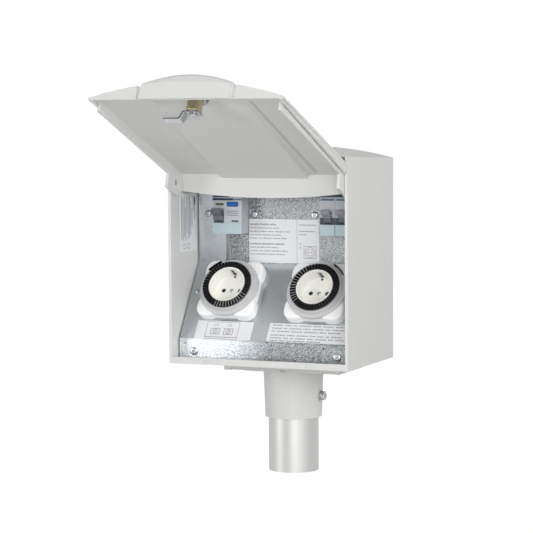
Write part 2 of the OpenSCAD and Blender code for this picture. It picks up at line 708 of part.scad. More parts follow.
module timer_tabs(side) color("black") at_timer(side) translate([0, 0, tab_z]) {
  step = 360 / tab_count;
  for (i = [0:tab_count - 1]) rotate(i * step) linear_extrude(height=tab_h) polygon([
    for (p = [[sleeve_d / 2 + 0.9, -0.36], [dial_d / 2, -0.36], [dial_d / 2, 0.36], [sleeve_d / 2 + 0.9, 0.36]])
      p[0] * [cos(p[1] * step), sin(p[1] * step)]]);
}

module socket_insert(side) color("ivory") at_timer(side) difference() {
  translate([0, 0, socket_foot]) cylinder(d=sleeve_d, h=face_z - socket_foot);
  translate([0, 0, face_z - recess_depth]) cylinder(d=recess_d, h=recess_depth + 1);
  for (x = [-1, 1] * pin_pitch / 2) translate([x, 0, socket_foot - 1]) cylinder(r=2.5, h=face_z);
  for (y = [-1, 1]) translate([-clip_w / 2, y * (recess_d / 2 + clip_t) - (y > 0 ? 3 : 0), face_z - recess_depth])
    cube([clip_w, 3, clip_h]);
}

module earth_clips(side) color("silver") at_timer(side) for (y = [-1, 1])
  translate([-clip_w / 2 + 0.2, y * (recess_d / 2 + clip_t) - (y > 0 ? clip_t : 0), face_z - recess_depth])
    cube([clip_w - 0.4, clip_t, clip_h - 0.3]);

module override(side) color("black") at_timer(side)
  translate([0, 0, drum_shelf + run_gap]) rotate(90 - side * (override_mid - 90) - override_span / 2)
    rotate_extrude(angle=override_span) translate([drum_d / 2 - override_w, 0]) square([override_w, 3]);

module timer_rear(side) color("white") at_timer(side)
  translate([-rear_w / 2, -rear_w / 2, -rear_h - plate_t]) cube([rear_w, rear_w, rear_h]);

// Labels

label_t = 0.25;

module slope_label(x0, x1, s0, s1) {
  on_slope(0, 0) translate([x0, s0, 0]) cube([x1 - x0, s1 - s0, label_t]);
}

module panel_slip(x0, x1, z0, z1) {
  in_box() translate([x0, panel_y - label_t, z0]) cube([x1 - x0, label_t, z1 - z0]);
}

label_top = gear_z - 6.8;
label_foot = slope_z1 + 0.8;
slope_label_top = timer_s - timer_base_w / 2 - 0.5;
slope_label_foot = 0.6;
panel_label_x = [-0.382, 0.189] * plate_half;
socket_label_x = [0.194, 0.455] * plate_half;
diagram_label_x = [-0.827, -0.153] * plate_half;
notice_label_x = [0.039, 0.96] * plate_half;

module rating_label() color("white") in_box() translate([-inner_half, 0.1572 * box_d, 0.5315 * side_h])
  cube([label_t, 0.2931 * box_d, 0.284 * side_h]);
module panel_label() color("white") panel_slip(panel_label_x[0], panel_label_x[1], label_foot, label_top);
module socket_label() color("white") panel_slip(socket_label_x[0], socket_label_x[1], label_foot, label_top);
module diagram_label() color("white")
  slope_label(diagram_label_x[0], diagram_label_x[1], slope_label_foot, slope_label_top);
module notice_label() color("white")
  slope_label(notice_label_x[0], notice_label_x[1], slope_label_foot, slope_label_top);

post_tube();
post_collar();
collar_flange();
clamp_screw();
clamp_washer();
flange_gasket();
flange_screws();
cable_grommet();
housing();
hinge_pins();
lid();
lock_barrel();
lock_nut();
lock_plug();
lock_cam();
cam_screw();
equipment_plate();
plate_screws();
din_rail();
rail_screws();
terminal_block();
earth_bar();
rcd_body();
rcd_toggle();
rcd_test_button();
rcd_window();
breaker_body(-1);  // left_breaker_body
breaker_toggle(-1);  // left_breaker_toggle
breaker_window(-1);  // left_breaker_window
breaker_body(1);  // right_breaker_body
breaker_toggle(1);  // right_breaker_toggle
breaker_window(1);  // right_breaker_window
timer_base(-1);  // left_timer_base
timer_drum(-1);  // left_timer_drum
timer_dial(-1);  // left_timer_dial
timer_tabs(-1);  // left_timer_tabs
socket_insert(-1);  // left_socket
earth_clips(-1);  // left_earth_clips
override(-1);  // left_override
timer_rear(-1);  // left_timer_rear
timer_base(1);  // right_timer_base
timer_drum(1);  // right_timer_drum
timer_dial(1);  // right_timer_dial
timer_tabs(1);  // right_timer_tabs
socket_insert(1);  // right_socket
earth_clips(1);  // right_earth_clips
override(1);  // right_override
timer_rear(1);  // right_timer_rear
rating_label();
panel_label();
socket_label();
diagram_label();
notice_label();
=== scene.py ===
"""Finishes, trim, light and camera for the garden socket post.

Shapes are drawn in millimetres and become pieces in metres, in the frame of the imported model.
"""

import logging
import math
from dataclasses import dataclass
from enum import Enum
from typing import Iterable, Sequence

import bmesh
import bpy
from mathutils import Matrix, Vector


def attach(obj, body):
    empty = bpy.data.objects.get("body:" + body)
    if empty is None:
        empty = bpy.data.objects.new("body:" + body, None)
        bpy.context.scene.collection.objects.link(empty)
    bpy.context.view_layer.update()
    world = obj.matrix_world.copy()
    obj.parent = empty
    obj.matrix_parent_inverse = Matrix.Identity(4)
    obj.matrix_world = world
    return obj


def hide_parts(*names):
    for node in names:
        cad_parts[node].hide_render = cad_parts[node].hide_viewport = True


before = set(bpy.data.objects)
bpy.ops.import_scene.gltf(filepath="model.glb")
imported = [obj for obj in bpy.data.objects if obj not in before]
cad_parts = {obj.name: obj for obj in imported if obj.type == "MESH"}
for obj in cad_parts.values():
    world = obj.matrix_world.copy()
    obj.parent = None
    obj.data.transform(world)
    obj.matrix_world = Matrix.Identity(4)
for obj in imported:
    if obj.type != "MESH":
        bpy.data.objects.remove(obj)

LOG = logging.getLogger("socket_post")
MM = 0.001
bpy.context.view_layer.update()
WHITE = (1.0, 1.0, 1.0, 1.0)

Colour = tuple[float, float, float]
Point = tuple[float, float, float]
Box = tuple[float, float, float, float]


class Body(str, Enum):
    """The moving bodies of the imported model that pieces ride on."""

    POST = "post"
    LID = "lid"
    LEFT_DIAL = "left_dial"
    RIGHT_DIAL = "right_dial"


class Side(Enum):
    """The two timers, by the side they are on as seen from the front."""

    LEFT = "left"
    RIGHT = "right"


class Wire:
    """A socket of a material under construction, with the maths that finishes are written in."""

    def __init__(self, bench: "Bench", socket: bpy.types.NodeSocket) -> None:
        """Wrap one output socket of the bench's node tree."""
        self.bench = bench
        self.socket = socket

    def _math(self, operation: str, first: "Wire | float", second: "Wire | float") -> "Wire":
        """Add one Math node that joins two values."""
        return self.bench.node("ShaderNodeMath", {"operation": operation}, {0: first, 1: second})

    def __add__(self, other: "Wire | float") -> "Wire":
        """Sum of two values."""
        return self._math("ADD", self, other)

    def __radd__(self, other: float) -> "Wire":
        """Sum with a number on the left."""
        return self._math("ADD", other, self)

    def __sub__(self, other: "Wire | float") -> "Wire":
        """Difference of two values."""
        return self._math("SUBTRACT", self, other)

    def __rsub__(self, other: float) -> "Wire":
        """Difference with a number on the left."""
        return self._math("SUBTRACT", other, self)

    def __mul__(self, other: "Wire | float") -> "Wire":
        """Product of two values."""
        return self._math("MULTIPLY", self, other)

    def __rmul__(self, other: float) -> "Wire":
        """Product with a number on the left."""
        return self._math("MULTIPLY", other, self)

    def __gt__(self, other: "Wire | float") -> "Wire":
        """One where the value is above the other, else zero."""
        return self._math("GREATER_THAN", self, other)

    def __lt__(self, other: "Wire | float") -> "Wire":
        """One where the value is below the other, else zero."""
        return self._math("LESS_THAN", self, other)


class Bench:
    """A node tree under construction for a material or the world."""

    def __init__(self, tree: bpy.types.NodeTree) -> None:
        """Start from an empty tree.

        Args:
            tree: the node tree of a material or a world, whose nodes are removed.
        """
        self.tree = tree
        tree.nodes.clear()

    def node(self, kind: str, settings: dict | None = None, sockets: dict | None = None,
             out: int | str = 0) -> Wire | None:
        """Add a node.

        Args:
            kind: the node's type name.
            settings: properties set before the sockets.
            sockets: values or wires by socket name or number.
            out: the output socket to hand back.

        Returns:
            The chosen output as a Wire, or None for a node without outputs.
        """
        made = self.tree.nodes.new(kind)
        for name, value in (settings or {}).items():
            setattr(made, name, value)
        for key, value in (sockets or {}).items():
            if isinstance(value, Wire):
                self.tree.links.new(value.socket, made.inputs[key])
            else:
                made.inputs[key].default_value = value
        return Wire(self, made.outputs[out]) if len(made.outputs) else None

    def place(self) -> Wire:
        """Object coordinates, in metres."""
        return self.node("ShaderNodeTexCoord", out="Object")

    def axis(self, index: int) -> Wire:
        """One of the object coordinates, by its number."""
        return self.node("ShaderNodeSeparateXYZ", {}, {0: self.place()}, index)

    def stretched(self, scale: Point) -> Wire:
        """Object coordinates, stretched by a factor along each axis."""
        return self.node("ShaderNodeMapping", {}, {"Vector": self.place(), "Scale": scale})

    def seen(self) -> Wire:
        """One for a ray from the camera, from metal or from glass, else zero."""
        eye, metal, glass = (self.node("ShaderNodeLightPath", out=ray)
                             for ray in ("Is Camera Ray", "Is Glossy Ray", "Is Transmission Ray"))
        return eye + metal + glass

    def noise(self, vector: Wire, scale: float, detail: float = 3.0) -> Wire:
        """Smooth noise from 0 to 1 at the given scale."""
        sockets = {"Vector": vector, "Scale": scale, "Detail": detail}
        return self.node("ShaderNodeTexNoise", {}, sockets, "Fac")

    def tint(self, factor: Wire, low: Colour, high: Colour) -> Wire:
        """A colour between two, by a factor."""
        return self.node("ShaderNodeMix", {"data_type": "RGBA"},
                         {0: factor, 6: (*low, 1.0), 7: (*high, 1.0)}, 2)

    def vector(self, operation: str, first: Wire, second: "Wire | Point | None" = None,
               scale: "Wire | float | None" = None) -> Wire:
        """A vector from one or two others.

        Args:
            operation: the Vector Math node's operation.
            first: the first vector.
            second: the second vector, where the operation takes one.
            scale: the factor of a scaling.

        Returns:
            The vector.
        """
        sockets = {0: first}
        if second is not None:
            sockets[1] = second
        if scale is not None:
            sockets["Scale"] = scale
        return self.node("ShaderNodeVectorMath", {"operation": operation}, sockets, "Vector")

    def bump(self, height: Wire, strength: float, depth: float) -> Wire:
        """A normal from a height, with its depth in metres."""
        sockets = {"Height": height, "Strength": strength, "Distance": depth}
        return self.node("ShaderNodeBump", {}, sockets, "Normal")

    def surface(self, sockets: dict) -> None:
        """End the tree in a Principled shader with the given sockets."""
        shader = self.node("ShaderNodeBsdfPrincipled", {}, sockets)
        self.node("ShaderNodeOutputMaterial", {}, {"Surface": shader})


def shade(colour: Colour, factor: float) -> Colour:
    """A colour made lighter or darker by a factor."""
    return tuple(min(1.0, c * factor) for c in colour)


@dataclass(frozen=True)
class Finish:
    """A surface finish: its name, its colour and its gloss."""

    name: str
    colour: Colour
    roughness: float = 0.4

    def material(self) -> bpy.types.Material:
        """The finish's material, made on first use."""
        label = f"finish_{self.name}"
        found = bpy.data.materials.get(label)
        if found is None:
            found = bpy.data.materials.new(label)
            found.use_nodes = True
            self.draw(Bench(found.node_tree))
        return found

    def draw(self, bench: Bench) -> None:
        """Draw the finish's nodes."""
        raise NotImplementedError


@dataclass(frozen=True)
class MouldedPlastic(Finish):
    """Injection-moulded plastic with a faint mottle and a fine grain."""

    CLOUD = 16.0
    CLOUD_GLOSS = 0.08
    GRAIN_GLOSS = 0.04

    grain: float = 1500.0
    depth: float = 0.00006
    mottle: float = 0.025
    coat: float = 0.0
    specular: float = 0.5

    def tone(self, bench: Bench, cloud: Wire) -> Wire:
        """The mottled colour."""
        low, high = shade(self.colour, 1 - self.mottle), shade(self.colour, 1 + self.mottle)
        return bench.tint(cloud, low, high)

    def draw(self, bench: Bench) -> None:
        """Draw the mottled colour, the uneven gloss and the grain."""
        at = bench.place()
        cloud = bench.noise(at, self.CLOUD)
        even = self.roughness - (self.CLOUD_GLOSS + self.GRAIN_GLOSS) / 2
        grain = bench.noise(at, self.grain, 2.0)
        bench.surface({
            "Base Color": self.tone(bench, cloud),
            "Roughness": even + self.CLOUD_GLOSS * cloud + self.GRAIN_GLOSS * grain,
            "Specular IOR Level": self.specular,
            "Coat Weight": self.coat,
            "Coat Roughness": 0.12,
            "Normal": bench.bump(grain, 0.5, self.depth),
        })


@dataclass(frozen=True)
class ShadedBelowPlastic(MouldedPlastic):
    """Moulded plastic that is drawn darker under a height, as painted shade."""

    CLOUDED = 0.06

    # Under this height the colour is darkened by the next factor: painted shade.
    foot: float = 0.2806
    painted_shade: float = 0.40

    def tone(self, bench: Bench, cloud: Wire) -> Wire:
        """The colour above the height and, under it, a darker one that is painted shade."""
        above = (1.0 - self.CLOUDED + self.CLOUDED * cloud) * (bench.axis(2) > self.foot)
        return bench.tint(above, shade(self.colour, self.painted_shade), self.colour)


@dataclass(frozen=True)
class SpangledZinc(Finish):
    """Galvanised sheet: flat crystals, each tilted its own way.

    The sloped face and the strip left of the gear are nearly smooth. The sloped face is drawn
    lighter, a painted reflection. The strip is drawn lighter, more so towards its top, which is
    painted light, and a band along its right edge is drawn darker, which is painted shade. The
    foot is drawn paler to the left, which is a painted reflection.
    """

    crystal: float = 1050.0
    finer: float = 1.8
    tilt: float = 0.50
    slope_low: float = 0.1500
    slope_top: float = 0.2288
    slope_calm: float = 0.88
    strip_right: float = -0.0615
    # Width of the band at the strip's right edge that is drawn darker: painted shade.
    shade_band_width: float = 0.004
    strip_calm: float = 0.75
    # How fast the strip is drawn lighter upwards: painted light.
    painted_light_rise: float = 7.5
    # Left of this the foot is drawn paler, fading at the next rate: a painted reflection.
    painted_reflection_from: float = 0.0070
    painted_reflection_fade: float = 14.0
    darkest: float = 0.25
    brightest: float = 1.75

    def crystals(self, bench: Bench, scale: float) -> Wire:
        """Cells of one size, each with a colour of its own."""
        sockets = {"Vector": bench.place(), "Scale": scale}
        return bench.node("ShaderNodeTexVoronoi", {}, sockets, "Color")

    def draw(self, bench: Bench) -> None:
        """Draw crystals of two sizes that differ in tilt, in brightness and in gloss."""
        coarse = self.crystals(bench, self.crystal)
        fine = self.crystals(bench, self.crystal * self.finer)
        across, height = bench.axis(0), bench.axis(2)
        slope = (height > self.slope_low) * (height < self.slope_top)
        strip = (across < self.strip_right) * (height > self.slope_top)
        # The band at the strip's right edge, drawn darker below: painted shade.
        edge = strip * (across > self.strip_right - self.shade_band_width)
        # The foot's left end, drawn paler below: a painted reflection.
        foot = (height < self.slope_low) * (across < self.painted_reflection_from)
        spread = 1.0 - self.slope_calm * slope - self.strip_calm * strip
        big = bench.node("ShaderNodeSeparateColor", {}, {"Color": coarse}, 0)
        small = bench.node("ShaderNodeSeparateColor", {}, {"Color": fine}, 1)
        # The slope is drawn lighter, a painted reflection; the edge band darker, painted shade.
        mix = 0.5 + (0.55 * big + 0.45 * small - 0.70) * spread + 0.12 * slope - 0.4 * edge
        # The strip is drawn lighter, more so upwards: painted light.
        mix = mix + strip * (0.06 + self.painted_light_rise * (height - self.slope_top))
        # The foot is drawn paler to the left: a painted reflection.
        mix = mix + self.painted_reflection_fade * foot * (self.painted_reflection_from - across)
        both = bench.node("ShaderNodeMix", {"data_type": "RGBA"}, {0: 0.5, 6: coarse, 7: fine}, 2)
        lean = bench.vector("SUBTRACT", both, (0.5, 0.5, 0.5))
        lean = bench.vector("SCALE", lean, None, self.tilt * spread)
        flat = bench.node("ShaderNodeNewGeometry", out="Normal")
        low, high = shade(self.colour, self.darkest), shade(self.colour, self.brightest)
        bench.surface({
            "Base Color": bench.tint(mix, low, high),
            "Metallic": 0.9,
            "Roughness": self.roughness + (0.14 + 0.12 * small) * spread,
            "Normal": bench.vector("NORMALIZE", bench.vector("ADD", flat, lean)),
        })


@dataclass(frozen=True)
class DrawnMetal(Finish):
    """Metal with fine lines along one axis from drawing, rolling or turning."""

    lines: Point = (900.0, 900.0, 8.0)
    contrast: float = 0.10

    def draw(self, bench: Bench) -> None:
        """Draw the lines in colour, gloss and height."""
        streak = bench.noise(bench.stretched(self.lines), 1.0, 4.0)
        cloud = bench.noise(bench.place(), 30.0)
        low, high = shade(self.colour, 1 - self.contrast), shade(self.colour, 1 + self.contrast)
        bench.surface({
            "Base Color": bench.tint(streak, low, high),
            "Metallic": 1.0,
            "Roughness": self.roughness - 0.08 + 0.10 * streak + 0.08 * cloud,
            "Normal": bench.bump(streak, 0.25, 0.00004),
        })


@dataclass(frozen=True)
class PrintedFilm(Finish):
    """Label stock: a smooth film with a faint unevenness."""

    def draw(self, bench: Bench) -> None:
        """Draw the film's faint cloud and its low relief."""
        cloud = bench.noise(bench.place(), 60.0)
        bench.surface({
            "Base Color": bench.tint(cloud, shade(self.colour, 0.975), shade(self.colour, 1.02)),
            "Roughness": self.roughness + 0.1 * cloud,
            "Normal": bench.bump(cloud, 0.2, 0.0001),
        })


FINE_GRAIN = 2200.0
SHALLOW = 0.00003

SHELL = MouldedPlastic("grey_shell", (0.655, 0.66, 0.645), 0.44)
# Darker grey of the lid strip: painted shade.
SHADE_STRIP = MouldedPlastic("grey_shade_strip", (0.50, 0.505, 0.495), 0.55)
TUBE = DrawnMetal("satin_tube", (0.505, 0.505, 0.50), 0.40, (1400.0, 1400.0, 10.0), 0.05)
STEEL = DrawnMetal("zinc_plate", (0.50, 0.51, 0.53), 0.24, (500.0, 500.0, 500.0), 0.16)
BRASS = DrawnMetal("turned_brass", (0.61, 0.54, 0.35), 0.26, (700.0, 700.0, 700.0), 0.12)
ZINC = SpangledZinc("spangled_sheet", (0.40, 0.42, 0.437), 0.20)
RUBBER = MouldedPlastic("black_rubber", (0.025, 0.025, 0.026), 0.62, 700.0)
# The modules' own white, drawn darker: painted shade under the visor.
SHADED_GEAR = MouldedPlastic("white_gear", (0.50, 0.515, 0.54), 0.34, FINE_GRAIN, SHALLOW, specular=0.3)
TOGGLE = MouldedPlastic("grey_toggle", (0.15, 0.162, 0.18), 0.38, FINE_GRAIN, SHALLOW, specular=0.3)
SLATE = MouldedPlastic("slate_toggle", (0.058, 0.07, 0.086), 0.42, FINE_GRAIN, SHALLOW, specular=0.25)
# Breaker toggles: the part under the saddle tops, down in the slot, is drawn darker as painted shade.
DUSK = ShadedBelowPlastic("dusk_toggle", (0.32, 0.325, 0.375), 0.36, FINE_GRAIN, SHALLOW, specular=0.3)
BLUE = MouldedPlastic("blue_button", (0.012, 0.10, 0.40), 0.38, FINE_GRAIN, SHALLOW, specular=0.2)
NAVY = MouldedPlastic("navy_stripe", (0.022, 0.040, 0.095), 0.40, FINE_GRAIN, SHALLOW, specular=0.3)
SKY = MouldedPlastic("sky_stripe", (0.10, 0.185, 0.245), 0.40, FINE_GRAIN, SHALLOW, specular=0.3)
TEAL = MouldedPlastic("teal_strip", (0.44, 0.55, 0.59), 0.22, FINE_GRAIN, 0.00002, coat=0.4)
OLIVE = MouldedPlastic("olive_pane", (0.060, 0.075, 0.040), 0.25, FINE_GRAIN, 0.00002)
BLACK = MouldedPlastic("black_dial", (0.006, 0.006, 0.007), 0.50, 1800.0, specular=0.12)
CHARCOAL = MouldedPlastic("charcoal_ring", (0.075, 0.075, 0.077), 0.45, 1800.0, specular=0.25)
TIMER = MouldedPlastic("white_timer", (0.91, 0.912, 0.915), 0.34, 2000.0, 0.00004)
DRUM = MouldedPlastic("smoky_drum", (0.56, 0.56, 0.57), 0.28, 2000.0, SHALLOW, 0.06, 0.4)
CREAM = MouldedPlastic("cream_socket", (0.87, 0.865, 0.82), 0.32, 2000.0, SHALLOW)
LABEL = PrintedFilm("label_film", (0.76, 0.765, 0.78), 0.40)
INK = PrintedFilm("label_ink", (0.22, 0.22, 0.24), 0.50)
# Near-black fill of holes and gaps: painted shade.
HOLE_SHADE = MouldedPlastic("painted_hole_shade", (0.020, 0.020, 0.020), 0.60, 900.0)

HOUSE = Matrix.Translation((0.0, -99.0, 124.0))
HINGE = Matrix.Translation((0.0, 6.0, 194.0))
LID_OPEN = -114.0
PANEL_FRONT = 66.0
FOOT_FRONT = 15.0
SLOPE_FOOT = 25.5
SLOPE_RUN = 51.0
SLOPE_RISE = 79.5
SOCKET_MIDDLE = 2.7
SOCKET_SPREAD = 50.96
TO_RIGHT = Matrix(((0, 0, 1, 0), (1, 0, 0, 0), (0, 1, 0, 0), (0, 0, 0, 1)))


def on_slope(x: float, s: float) -> Matrix:
    """The sloped face's frame in millimetres: X across, Y up the slope, Z out of it."""
    turn = Matrix.Rotation(math.atan2(SLOPE_RISE, SLOPE_RUN), 4, "X")
    return (HOUSE @ Matrix.Translation((x, FOOT_FRONT, SLOPE_FOOT)) @ turn
            @ Matrix.Translation((0.0, s, 0.0)))


def facing_front(x: float, y: float, z: float) -> Matrix:
    """A frame at a place of the housing whose Z points to the front and whose Y points up."""
    return HOUSE @ Matrix.Translation((x, y, z)) @ Matrix.Rotation(math.pi / 2, 4, "X")


def facing_right(x: float, y: float, z: float) -> Matrix:
    """A frame on the left wall whose Z points to the right, X to the back and Y up."""
    return HOUSE @ Matrix.Translation((x, y, z)) @ TO_RIGHT


def in_lid() -> Matrix:
    """The closed lid's frame in millimetres, carried to its open rest."""
    return HOUSE @ HINGE @ Matrix.Rotation(math.radians(LID_OPEN), 4, "X") @ HINGE.inverted()


def round_edges(part: bmesh.types.BMesh, edges: list[bmesh.types.BMEdge], radius: float,
                segments: int = 3) -> None:
    """Round edges of a part to a radius."""
    bmesh.ops.bevel(part, geom=edges, offset=radius, offset_type="OFFSET", segments=segments,
                    profile=0.5, affect="EDGES", material=-1, clamp_overlap=True)


def add_circle(part: bmesh.types.BMesh, radius: float, height: float,
               segments: int) -> list[bmesh.types.BMEdge]:
    """Add a circle round Z to a part and hand back its edges."""
    place = Matrix.Translation((0, 0, height))
    circle = bmesh.ops.create_circle(part, segments=segments, radius=radius, matrix=place)["verts"]
    return list({e for v in circle for e in v.link_edges})


def raised(part: bmesh.types.BMesh, faces: list[bmesh.types.BMFace],
           by: float) -> list[bmesh.types.BMVert]:
    """Pull faces of a part along Z, with walls, and hand back the vertices that moved."""
    grown = bmesh.ops.extrude_face_region(part, geom=faces)
    moved = [g for g in grown["geom"] if isinstance(g, bmesh.types.BMVert)]
    bmesh.ops.translate(part, vec=(0, 0, by), verts=moved)
    return moved


class Shape:
    """A mesh in millimetres that grows by bmesh operators and ends as a piece."""

    SMOOTH_UNDER = 38.0
    DOME = ((0.72, 0.97), (0.92, 0.72), (1.0, 0.30), (1.0, 0.0))
    CROSS_CELL = 0.14
    CROSS_DEPTH = 0.55
    CROSS_TAPER = 0.8

    def __init__(self) -> None:
        """Start empty."""
        self.bm = bmesh.new()

    def _join(self, part: bmesh.types.BMesh, place: Matrix) -> "Shape":
        """Put a finished part in its place and add it.

        Args:
            part: the part, which is used up.
            place: its frame in millimetres.

        Returns:
            This shape.
        """
        bmesh.ops.transform(part, matrix=place, verts=part.verts)
        bmesh.ops.recalc_face_normals(part, faces=part.faces)
        mesh = bpy.data.meshes.new("part")
        part.to_mesh(mesh)
        part.free()
        self.bm.from_mesh(mesh)
        bpy.data.meshes.remove(mesh)
        return self

    def slab(self, low: Point, high: Point, place: Matrix, edge: float = 0.0, corner: float = 0.0,
             beyond: Vector | None = None) -> "Shape":
        """A block between two corners, with rounded edges.

        Args:
            low: lowest corner.
            high: highest corner.
            place: the block's frame.
            edge: radius of the edges round its top.
            corner: radius of its upright edges; none where it is 0.
            beyond: foot of a plane square to it; only what lies beyond the plane is kept.

        Returns:
            This shape.
        """
        part = bmesh.new()
        bmesh.ops.create_cube(part, size=1.0)
        size = Vector(high) - Vector(low)
        bmesh.ops.scale(part, vec=size, verts=part.verts)
        bmesh.ops.translate(part, vec=(Vector(low) + Vector(high)) / 2, verts=part.verts)
        upright = [e for e in part.edges if abs(e.verts[0].co.z - e.verts[1].co.z) > size.z / 2]
        if corner:
            round_edges(part, upright, corner, 6)
            upright = []
        if edge:
            top = [e for e in part.edges if all(v.co.z > high[2] - 1e-5 for v in e.verts)]
            round_edges(part, top + upright, edge)
        if beyond is not None:
            every = part.verts[:] + part.edges[:] + part.faces[:]
            bmesh.ops.bisect_plane(part, geom=every, plane_co=beyond, plane_no=beyond,
                                   clear_inner=True)
            bmesh.ops.holes_fill(part, edges=[e for e in part.edges if e.is_boundary])
        return self._join(part, place)

    def bored_plate(self, half: float, corner: float, bore: float, height: float, edge: float,
                    place: Matrix) -> "Shape":
        """A square plate with rounded corners and a round bore.

        Args:
            half: half its width.
            corner: radius of its corners.
            bore: radius of its bore.
            height: its thickness.
            edge: radius of its outer top edge.
            place: the plate's frame.

        Returns:
            This shape.
        """
        part = bmesh.new()
        bmesh.ops.create_grid(part, x_segments=1, y_segments=1, size=half)
        bmesh.ops.bevel(part, geom=part.verts[:], offset=corner, offset_type="OFFSET", segments=8,
                        profile=0.5, affect="VERTICES", material=-1)
        bmesh.ops.delete(part, geom=part.faces[:], context="FACES_ONLY")
        rim = part.edges[:]
        bmesh.ops.bridge_loops(part, edges=rim + add_circle(part, bore, 0.0, 64))
        raised(part, part.faces[:], height)
        bmesh.ops.recalc_face_normals(part, faces=part.faces)
        walls = [e for e in part.edges if any(abs(f.normal.z) < 0.5 for f in e.link_faces)]
        outer = [e for e in walls
                 if all(v.co.z > height / 2 and v.co.xy.length > bore + 1.0 for v in e.verts)]
        round_edges(part, outer, edge)
        return self._join(part, place)

    def turned(self, profile: Iterable[tuple[float, float]], place: Matrix, steps: int) -> "Shape":
        """A body turned round Z from a profile of radius and height.

        Args:
            profile: points from the foot to the top.
            place: the body's frame.
            steps: facets round it.

        Returns:
            This shape.
        """
        part = bmesh.new()
        line = [part.verts.new((r, 0.0, z)) for r, z in profile]
        edges = [part.edges.new(pair) for pair in zip(line, line[1:])]
        bmesh.ops.spin(part, geom=line + edges, cent=(0, 0, 0), axis=(0, 0, 1), angle=2 * math.pi,
                       steps=steps, use_merge=True)
        bmesh.ops.remove_doubles(part, verts=part.verts, dist=1e-4)
        bmesh.ops.dissolve_degenerate(part, edges=part.edges, dist=1e-5)
        return self._join(part, place)

    def cross_head(self, radius: float, height: float, place: Matrix) -> "Shape":
        """A domed screw head with a cross recess.

        Args:
            radius: radius of the head.
            height: height of the head.
            place: frame of its seat, with Z out of it.

        Returns:
            This shape.
        """
        part = bmesh.new()
        cell = radius * self.CROSS_CELL
        bmesh.ops.create_grid(part, x_segments=6, y_segments=6, size=3 * cell,
                              matrix=Matrix.Translation((0, 0, height)))
        last = [e for e in part.edges if e.is_boundary]
        arms = []
        for face in part.faces:
            middle = face.calc_center_median()
            near, far = sorted((abs(middle.x), abs(middle.y)))
            if near < cell and far < 2 * cell:
                arms.append(face)
        floor = raised(part, arms, -height * self.CROSS_DEPTH)
        bmesh.ops.delete(part, geom=arms, context="FACES_ONLY")
        bmesh.ops.scale(part, vec=(self.CROSS_TAPER, self.CROSS_TAPER, 1.0), verts=floor)
        for r, z in self.DOME:
            ring = add_circle(part, r * radius, z * height, 24)
            bmesh.ops.bridge_loops(part, edges=last + ring)
            last = ring
        return self._join(part, place)

    def piece(self, name: str, body: Body, slot: str, finish: Finish,
              replaces: Sequence[str] = ()) -> None:
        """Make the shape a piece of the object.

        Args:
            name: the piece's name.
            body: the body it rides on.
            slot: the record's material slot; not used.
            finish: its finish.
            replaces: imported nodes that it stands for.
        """
        bmesh.ops.scale(self.bm, vec=(MM, MM, MM), verts=self.bm.verts)
        mesh = bpy.data.meshes.new(name)
        self.bm.to_mesh(mesh)
        self.bm.free()
        mesh.shade_smooth()
        mesh.set_sharp_from_angle(angle=math.radians(self.SMOOTH_UNDER))
        mesh.materials.append(finish.material())
        made = bpy.data.objects.new(name, mesh)
        bpy.context.scene.collection.objects.link(made)
        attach(made, body.value)
        if replaces:
            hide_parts(*replaces)
        LOG.info("piece %s: %d faces", name, len(mesh.polygons))


class EdgeShading:
    """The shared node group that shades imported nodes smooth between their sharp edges."""

    SHARP_OVER = 40.0
    ROUND_OVER = 35.0
    FLAT_WITHIN = 0.3
    WELD_WITHIN = 2e-6

    def __init__(self) -> None:
        """Build the group."""
        tree = bpy.data.node_groups.new("edge_shading", "GeometryNodeTree")
        tree.interface.new_socket("Geometry", in_out="INPUT", socket_type="NodeSocketGeometry")
        tree.interface.new_socket("Geometry", in_out="OUTPUT", socket_type="NodeSocketGeometry")
        start, end = tree.nodes.new("NodeGroupInput"), tree.nodes.new("NodeGroupOutput")
        bare = tree.nodes.new("GeometryNodeRemoveAttribute")
        bare.inputs["Name"].default_value = "custom_normal"
        faces = tree.nodes.new("GeometryNodeSetShadeSmooth")
        edges = tree.nodes.new("GeometryNodeSetShadeSmooth")
        edges.domain = "EDGE"
        edges.inputs["Shade Smooth"].default_value = False
        bend = tree.nodes.new("GeometryNodeInputMeshEdgeAngle")
        sharp = tree.nodes.new("FunctionNodeCompare")
        sharp.inputs["B"].default_value = math.radians(self.SHARP_OVER)
        for source, target in ((start, bare.inputs[0]), (bare, faces.inputs[0]),
                               (faces, edges.inputs[0]), (bend, sharp.inputs["A"]),
                               (sharp, edges.inputs["Selection"]), (edges, end.inputs[0])):
            tree.links.new(source.outputs[0], target)
        self.tree = tree

    def dress(self, node: str, finish: Finish, edge: float = 0.0, flat_faces: bool = True) -> None:
        """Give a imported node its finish, its rounded edges and its shading.

        Args:
            node: the node's name.
            finish: its finish.
            edge: radius of its edges in millimetres; 0 leaves them sharp.
            flat_faces: whether its flat faces are joined; not for curved sheets and bored faces.
        """
        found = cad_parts[node]
        for held in found.material_slots:
            held.material = finish.material()
        weld = found.modifiers.new("weld", "WELD")
        weld.merge_threshold = self.WELD_WITHIN
        if flat_faces:
            flat = found.modifiers.new("flat", "DECIMATE")
            flat.decimate_type = "DISSOLVE"
            flat.angle_limit = math.radians(self.FLAT_WITHIN)
        if edge:
            rounded = found.modifiers.new("rounded", "BEVEL")
            rounded.width = edge * MM
            rounded.segments = 3
            rounded.limit_method = "ANGLE"
            rounded.angle_limit = math.radians(self.ROUND_OVER)
        shading = found.modifiers.new("shading", "NODES")
        shading.node_group = self.tree
        even = found.modifiers.new("even", "WEIGHTED_NORMAL")
        even.keep_sharp = True
        LOG.info("dressed %s in %s", node, finish.name)


